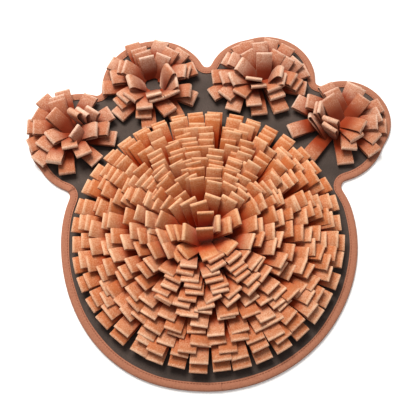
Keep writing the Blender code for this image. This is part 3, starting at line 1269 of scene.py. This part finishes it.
def ring_loops(chance):
    """The loops of all rings, apart from those that would stand among the stacks."""
    phases = chance.uniform(0, 360, COLUMN_LIMIT)
    slants = chance.normal(0, 1.0, (COLUMN_LIMIT, SLOT_LIMIT))
    loops = [
        ring_loop(ring, i, phases[ring.column], slants[ring.column, i], chance)
        for ring in PAD_RINGS
        for i in range(ring.count)
    ]
    return [loop for loop in loops if loop and not among_stacks(loop)]


pad_chance = np.random.default_rng(PAD_SEED)
pad_list = sewn_loops(PAD_MIDDLE, PAD_CENTRE, pad_chance)
pad_list += ring_loops(pad_chance)
pad_list += sewn_loops(PAD_STACKS, PAD_CENTRE, pad_chance, PAD_LIGHT_WARMTH, -PAD_UPHILL_LIGHT_WARMTH)
pad = felt_loops("pad_loops", pad_list)
print("pad:", len(pad_list), "loops,", len(pad.data.polygons), "faces")

# %% [markdown]
# ## The toe tufts
#
# Each toe has a rosette of about thirty loops, sewn close to one point. They have room to fall,
# so no two lie alike, and each was read from the photograph by its fold, as the pad's middle was.
# Outer loops lie nearly flat and reach to the binding, and inner loops stand up. The inner left
# tuft is sewn round a small open middle, where the base cloth shows.

# %% The tufts' loops
class Tuft(NamedTuple):
    """A toe's tuft: its piece, the solid it stands for, its middle in millimetres, and its loops."""

    name: str
    node: str
    x: float
    y: float
    rows: list


# foot x, foot y, heading, lean, length, opening, then tilt and roll where they matter
TUFTS = [
    Tuft(
        "outer_left_tuft",
        "toe_tuft_outer_left",
        x=-177,
        y=156,
        rows=[
            (-5, 16, 109, 82, 51, 3),
            (-10, 15, 134, 83, 54, 3),
            (-11, 7, 107, 72, 49, 2.5),
            (-10, 0, 110, 65, 49, 3),
            (2, -4, 144, 55, 48, 5),
            (-13, 5, 152, 80, 49, 3),
            (-16, 10, -180, 82, 49, 3),
            (-8, 6, -178, 72, 49, 3),
            (-16, 0, -157, 83, 49, 3),
            (-13, 12, -129, 75, 49, 3),
            (-2, 8, -139, 61, 43, 5),
            (14, -15, 154, 22, 33, 4),
            (11, 11, -131, 1, 33, 7, -22),
            (15, 13, 43, 8, 30, 6, 12),
            (17, 11, 57, 39, 29, 5),
            (-2, 13, 62, 83, 49, 3),
            (9, 2, 36, 82, 49, 3),
            (-4, -5, -2, 58, 44, 5),
            (1, 1, -1, 72, 49, 4),
            (8, -5, -6, 84, 49, 2.5),
            (-5, -1, -57, 67, 49, 3),
            (-2, -11, -43, 82, 49, 3),
            (-12, -13, -84, 83, 49, 3),
            (-17, -4, -97, 70, 49, 6),
            (-16, -7, -131, 82, 49, 3),
            (-10, 1, -74, 54, 42, 2.5),
        ],
    ),
    Tuft(
        "inner_left_tuft",
        "toe_tuft_inner_left",
        x=-72,
        y=232,
        rows=[
            (-9, 14, 116, 83, 53, 3),
            (-4, 20, 69, 82, 49, 3),
            (-5, 9, 109, 70, 45, 2.5),
            (-1, 9, 110, 58, 39, 2),
            (-1, 9, 109, 35, 34, 3),
            (6, 9, 62, 49, 35, 3),
            (6, 10, 58, 73, 46, 2.5),
            (13, 11, 48, 83, 50, 3),
            (16, 3, 24, 83, 49, 3),
            (9, 11, -6, 62, 44, 5),
            (7, 19, -8, 74, 49, 3),
            (14, -9, 16, 28, 38, 9, 14),
            (15, -17, 2, 36, 36, 2, 8),
            (18, -9, -62, 45, 35, 3.5),
            (-1, -11, -75, 40, 36, 3.5),
            (1, -12, -73, 52, 34, 2.5),
            (-9, -5, -163, 40, 35, 7),
            (-15, 8, 150, 82, 51, 3),
            (-9, 14, 173, 66, 41, 3),
            (-9, 6, 164, 51, 39, 3),
            (-17, -6, -178, 84, 52, 3),
            (-10, 13, -167, 74, 49, 4),
            (-10, -4, -140, 70, 44, 4),
            (-9, -9, -132, 57, 38, 5),
            (-9, -8, -143, 78, 49, 3.5),
            (-9, -15, -138, 86, 54, 3),
            (-12, -10, -85, 64, 44, 4),
            (-11, -10, -89, 80, 49, 3.5),
            (0, -14, -58, 74, 49, 4),
            (13, -12, -62, 86, 49, 2.5),
            (8, -17, -7, 72, 49, 6),
            (15, -8, -27, 85, 50, 4),
            (-7, -22, -87, 86, 49, 2.5),
        ],
    ),
    Tuft(
        "inner_right_tuft",
        "toe_tuft_inner_right",
        x=76,
        y=231,
        rows=[
            (13, 15, 80, 83, 53, 3),
            (14, 11, 48, 84, 54, 3),
            (6, -1, 56, 65, 49, 3),
            (9, 10, 93, 74, 49, 2.5),
            (-4, 15, 102, 82, 49, 3),
            (6, -1, 119, 62, 49, 3),
            (-1, 16, 124, 82, 49, 3),
            (2, -4, 149, 51, 45, 6),
            (8, -4, 89, 46, 45, 3),
            (11, -6, -23, 29, 37, 8, 18),
            (11, -11, -34, 39, 35, 5, 25),
            (9, 11, -24, 67, 49, 3.5),
            (17, 12, -34, 76, 49, 4),
            (17, -3, -17, 84, 51, 3),
            (20, -5, 23, 84, 54, 3),
            (22, -5, 41, 75, 49, 3),
            (16, -8, 52, 67, 49, 3),
            (-4, 12, 153, 78, 49, 3),
            (3, 10, 153, 70, 49, 5),
            (-16, 11, -169, 80, 49, 4),
            (-7, 9, -167, 71, 49, 4.5),
            (2, 6, -164, 62, 49, 5),
            (-20, 2, -155, 85, 52, 4),
            (-17, 7, -130, 75, 49, 4.5),
            (-4, 7, -121, 66, 48, 5),
            (-5, 3, -100, 28, 39, 3.5),
            (-3, -3, -83, 36, 34, 3),
            (9, 7, -70, 57, 41, 4),
            (10, 8, -70, 71, 48, 4.5),
            (-22, -1, -108, 83, 49, 3),
            (-11, 1, -89, 72, 49, 2.5),
            (-5, -6, -85, 84, 49, 3),
            (14, -5, -69, 83, 49, 4),
        ],
    ),
    Tuft(
        "outer_right_tuft",
        "toe_tuft_outer_right",
        x=180,
        y=158,
        rows=[
            (8, 18, 113, 81, 49, 4),
            (14, 7, 116, 69, 49, 3.5),
            (6, -1, 118, 55, 47, 3),
            (7, 15, 65, 83, 53, 2.5),
            (11, 12, 62, 72, 49, 2.5),
            (8, 1, 45, 65, 49, 3),
            (15, 9, 23, 84, 53, 3),
            (14, -3, 20, 76, 49, 3),
            (7, 1, -4, 72, 49, 3),
            (1, 8, -36, 59, 44, 6),
            (17, 8, -45, 80, 49, 4),
            (4, 6, -63, 64, 43, 5),
            (17, 2, -8, 86, 51, 3),
            (18, -5, -50, 83, 49, 4),
            (14, 3, -95, 70, 48, 3),
            (2, -9, -82, 86, 49, 3),
            (-10, -9, -133, 87, 49, 3),
            (-18, 7, -164, 86, 49, 3.5),
            (-10, -15, 140, 61, 43, 4, 0, -55),
            (-15, 5, 171, 32, 35, 2.5, -14),
            (-14, 4, 169, 25, 36, 3, -13),
            (4, 21, 164, 70, 49, 5),
            (-13, 11, 146, 82, 50, 4),
            (-5, -6, -129, 8, 34, 5, -13),
            (-8, -15, -132, 9, 31, 4, -10),
        ],
    ),
]
print("tufts:", {tuft.name: len(tuft.rows) for tuft in TUFTS})

# %% [markdown]
# ## Making the tufts
#
# The toes are painted in cooler light than the pad, and their loops in the warmest light where
# they point down towards it. Each tuft has its own seed, so that a change to one leaves the others
# as they are.

# %% Make the tufts
# painted light: the toes are painted in cooler light than the pad, warmer where their loops point down
TUFT_LIGHT_WARMTH = 0.36
TUFT_DOWNHILL_LIGHT_WARMTH = 0.12


def tuft_piece(tuft, seed):
    chance = np.random.default_rng(seed)
    loops = sewn_loops(tuft.rows, (tuft.x, tuft.y), chance, TUFT_LIGHT_WARMTH, TUFT_DOWNHILL_LIGHT_WARMTH)
    return felt_loops(tuft.name, loops)


tufts = [tuft_piece(tuft, seed) for seed, tuft in enumerate(TUFTS, 1)]
print("tufts:", sum(len(piece.data.polygons) for piece in tufts), "faces")

# %% [markdown]
# ## Handing the pieces over
#
# Every piece rides on the mat's one body, and the solids that it stands for are hidden.

# %% Ride on the body and hide the solids
def hand_over(piece, slot, *nodes):
    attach(piece, "root")
    if nodes:
        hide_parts(*nodes)


hand_over(base_sheet, "base_cloth", "base_cloth")
hand_over(tape, "edge_binding", "edge_binding")
hand_over(stitches, "edge_binding")
hand_over(pad, "felt_loops", "loop_pad")
for tuft, piece in zip(TUFTS, tufts):
    hand_over(piece, "felt_loops", tuft.node)
